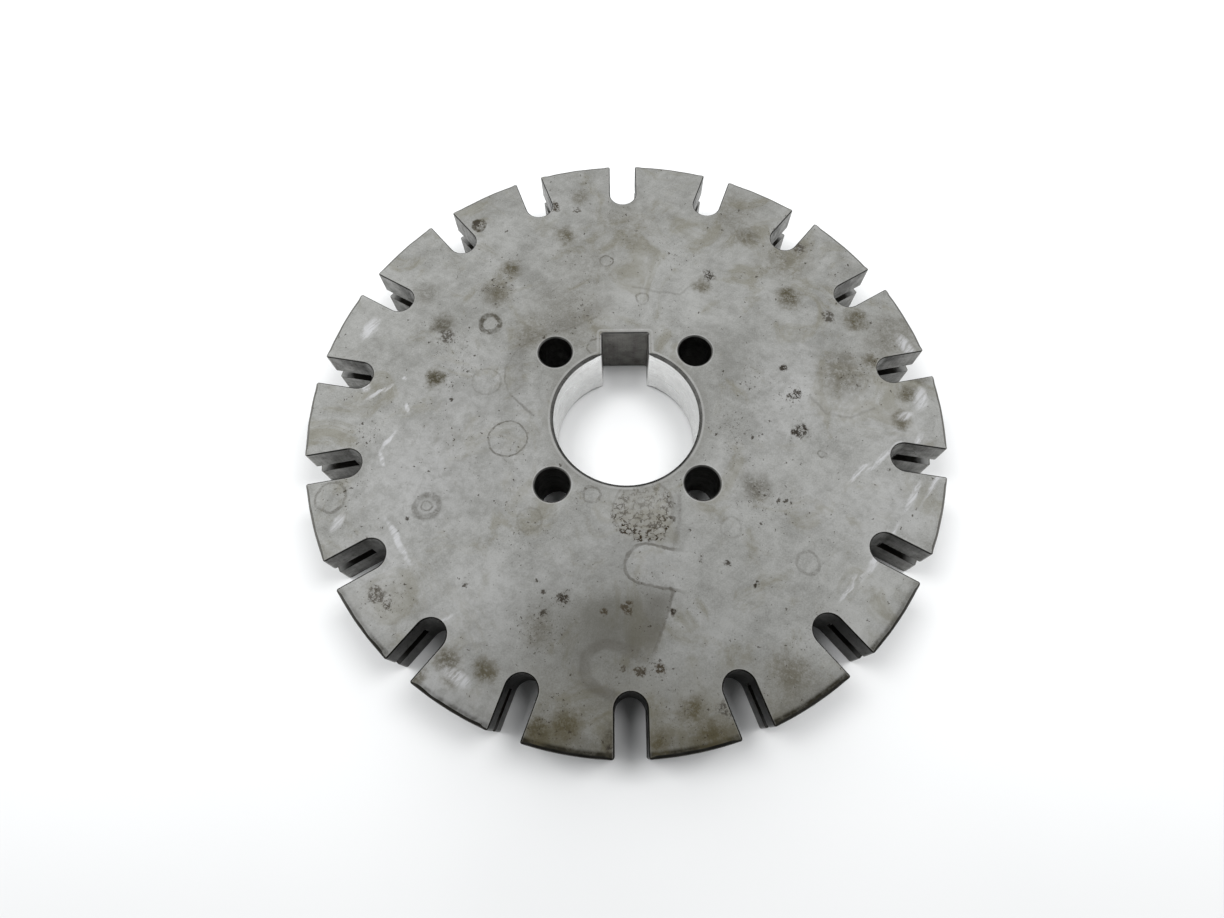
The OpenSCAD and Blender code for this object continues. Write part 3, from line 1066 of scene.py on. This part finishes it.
def make_materials():
    faces = [ground_face(f"steel_ground_face_{patch + 1}", patch) for patch in range(9)]
    faces.append(ground_face("steel_ground_rear", None))
    return faces + [
        # rim wall: the darker edge breaks are painted shade on the round-over
        tooled_wall("steel_turned_rim", (0.24, 0.237, 0.224), (0.37, 0.367, 0.350), 0.40, 5.0, 0.05, 0.006,
                    (0.10, 0.088, 0.064), 0.55, edge_colour=(0.130, 0.125, 0.112), edge_amount=0.70,
                    near_shade_strength=0.90),
        # slot walls: the dark steel and near-black edge breaks are painted shade in the deep narrow slots
        tooled_wall("steel_milled_slot", (0.125, 0.124, 0.116), (0.27, 0.268, 0.255), 0.42, 2.0, 0.10, 0.005,
                    (0.07, 0.062, 0.045), 0.60, axis="xy", lines_share=0.18,
                    edge_colour=(0.030, 0.029, 0.026), edge_amount=0.85, edge_patchy=0.7, near_shade_strength=0.95),
        # groove: near-black steel is painted shade deep in the narrow groove
        tooled_wall("steel_groove", (0.016, 0.015, 0.012), (0.040, 0.038, 0.034), 0.55, 4.0, 0.06, 0.006,
                    (0.02, 0.017, 0.012), 0.7, near_shade_strength=0.80, painted_light_mouth_colour=(0.42, 0.42, 0.41)),
        # bore: the near-black edge colour paints the chamfer with the dark reflection it would catch from
        # above, a painted shade
        tooled_wall("steel_ground_bore", (0.70, 0.70, 0.69), (0.88, 0.88, 0.87), 0.30, 4.0, 0.04, 0.002,
                    (0.34, 0.32, 0.28), 0.20,
                    edge_colour=(0.085, 0.083, 0.076), edge_amount=0.95, edge_patchy=0.9),
        # keyway: the dark back wall is painted shade in the recess, and the light edge colours are painted
        # highlights with some rubbed wear
        tooled_wall("steel_keyway_back", (0.100, 0.096, 0.088), (0.170, 0.165, 0.153), 0.42, 2.0, 0.05, 0.004,
                    (0.05, 0.044, 0.034), 0.5, axis="xy", lines_share=0.15,
                    edge_colour=(0.30, 0.30, 0.29), edge_amount=0.60),
        tooled_wall("steel_keyway_side", (0.36, 0.355, 0.34), (0.56, 0.555, 0.54), 0.36, 2.0, 0.05, 0.004,
                    (0.16, 0.15, 0.13), 0.4, axis="xy", lines_share=0.15,
                    edge_colour=(0.66, 0.66, 0.65), edge_amount=0.70),
        # holes: the light edge colour paints a highlight on the chamfer, with some rubbed wear
        tooled_wall("steel_drilled_hole", (0.030, 0.028, 0.024), (0.075, 0.072, 0.065), 0.50, 3.0, 0.06,
                    0.006, (0.02, 0.017, 0.013), 0.6, edge_colour=(0.34, 0.34, 0.33), edge_amount=0.50),
    ]


body = make_body()
for material in make_materials():
    body.data.materials.append(material)
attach(body, "root")
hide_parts("cutter_body")


# ---------------------------------------------------------------- stage
def make_floor():
    size = 4.0
    mesh = bpy.data.meshes.new("table_top")
    drop = -0.02 * MM
    mesh.from_pydata([(-size, -size, drop), (size, -size, drop), (size, size, drop), (-size, size, drop)], [],
                     [(0, 1, 2, 3)])
    floor = bpy.data.objects.new("table_top", mesh)
    bpy.context.scene.collection.objects.link(floor)
    material, t = new_material("pale_gloss_table")
    p = millimetres(t)
    ripple = t.noise(p, 0.012, 3.0, 0.5)
    colour = t.mix(t.step(ripple, 0.3, 0.7), (0.880, 0.887, 0.892), (0.900, 0.906, 0.910))
    # painted shade: the table darkens towards the side nearest the camera
    colour = t.vector("SCALE", colour, scale=t.step(t.split(p)[1], -105.0, -20.0, 0.78, 1.0))
    shader = t.node("ShaderNodeBsdfPrincipled")
    t.put(shader.inputs["Base Color"], colour)
    t.put(shader.inputs["Roughness"], t.step(t.noise(p, 0.05, 3.0), 0.3, 0.7, 0.10, 0.16))
    shader.inputs["Specular IOR Level"].default_value = 0.35
    bump = t.node("ShaderNodeBump")
    bump.inputs["Distance"].default_value = 0.00004
    t.put(bump.inputs["Height"], t.noise(p, 0.04, 3.0, 0.55))
    t.put(shader.inputs["Normal"], bump.outputs[0])
    out = t.node("ShaderNodeOutputMaterial")
    t.put(out.inputs[0], shader.outputs[0])
    mesh.materials.append(material)
    return floor


def make_world():
    """Soft room light: bright above and beyond the part, dark on the near side, where the camera is held."""
    world = bpy.data.worlds.new("studio")
    bpy.context.scene.world = world
    world.use_nodes = True
    t = Tree(world.node_tree)
    direction = t.node("ShaderNodeTexCoord").outputs["Generated"]
    x, y, z = t.split(t.vector("NORMALIZE", direction))
    level = t.step(z, -0.05, 0.45, 0.64, 0.86)
    side = t.math("ABSOLUTE", x)
    level = t.math("ADD", level, t.step(x, -0.45, -0.05, 0.11, 0.0))
    near = t.math("MULTIPLY", t.step(y, -0.50, 0.0, 0.88, 0.0), t.step(side, 0.20, 0.65, 1.0, 0.30))
    off = t.vector("LENGTH", t.combine(x, t.math("ADD", y, 0.06), 0.0))
    above = t.math("ADD", t.step(off, 0.12, 0.26, 0.62, 0.0), t.step(off, 0.06, 0.40, 0.34, 0.0))
    above = t.math("MULTIPLY", above, t.math("GREATER_THAN", z, 0.0))
    level = t.math("MULTIPLY", level, t.math("SUBTRACT", 1.0, t.math("MAXIMUM", near, above)))
    background = t.node("ShaderNodeBackground")
    background.inputs["Color"].default_value = (0.985, 0.995, 1.0, 1.0)
    t.put(background.inputs["Strength"], level)
    out = t.node("ShaderNodeOutputWorld")
    t.put(out.inputs[0], background.outputs[0])


def area_light(name, location, target, size, power):
    data = bpy.data.lights.new(name, "AREA")
    data.shape = "RECTANGLE"
    data.size, data.size_y = size
    data.energy = power
    light = bpy.data.objects.new(name, data)
    light.location = location
    light.rotation_euler = (Vector(target) - Vector(location)).to_track_quat("-Z", "Y").to_euler()
    light.visible_glossy = False
    bpy.context.scene.collection.objects.link(light)


# The camera stands over the near edge of the disc and looks down at it, a little past the axis.
CAMERA_AT = Vector((-1.95, -63.42, 155.21)) * MM
CAMERA_TILT = math.radians(22.719)
CAMERA_YAW = math.radians(-0.780)
CAMERA_ROLL = math.radians(0.108)


def make_camera():
    data = bpy.data.cameras.new("camera")
    data.sensor_width = 36.0
    data.lens = 22.096
    data.shift_x, data.shift_y = -0.00727, -0.0185
    data.clip_start, data.clip_end = 0.01, 50.0
    data.dof.use_dof = False
    camera = bpy.data.objects.new("camera", data)
    turn = (Matrix.Rotation(CAMERA_YAW, 4, "Z") @ Matrix.Rotation(CAMERA_TILT, 4, "X")
            @ Matrix.Rotation(CAMERA_ROLL, 4, "Z"))
    camera.matrix_world = Matrix.Translation(CAMERA_AT) @ turn
    bpy.context.scene.collection.objects.link(camera)
    bpy.context.scene.camera = camera


make_floor()
make_world()
area_light("left_panel", (-0.31, 0.08, 0.78), (0, 0, 0), (0.26, 0.34), 2.7)
area_light("right_panel", (0.31, 0.08, 0.78), (0, 0, 0), (0.26, 0.34), 2.7)
make_camera()
bpy.context.scene.view_settings.view_transform = "Standard"
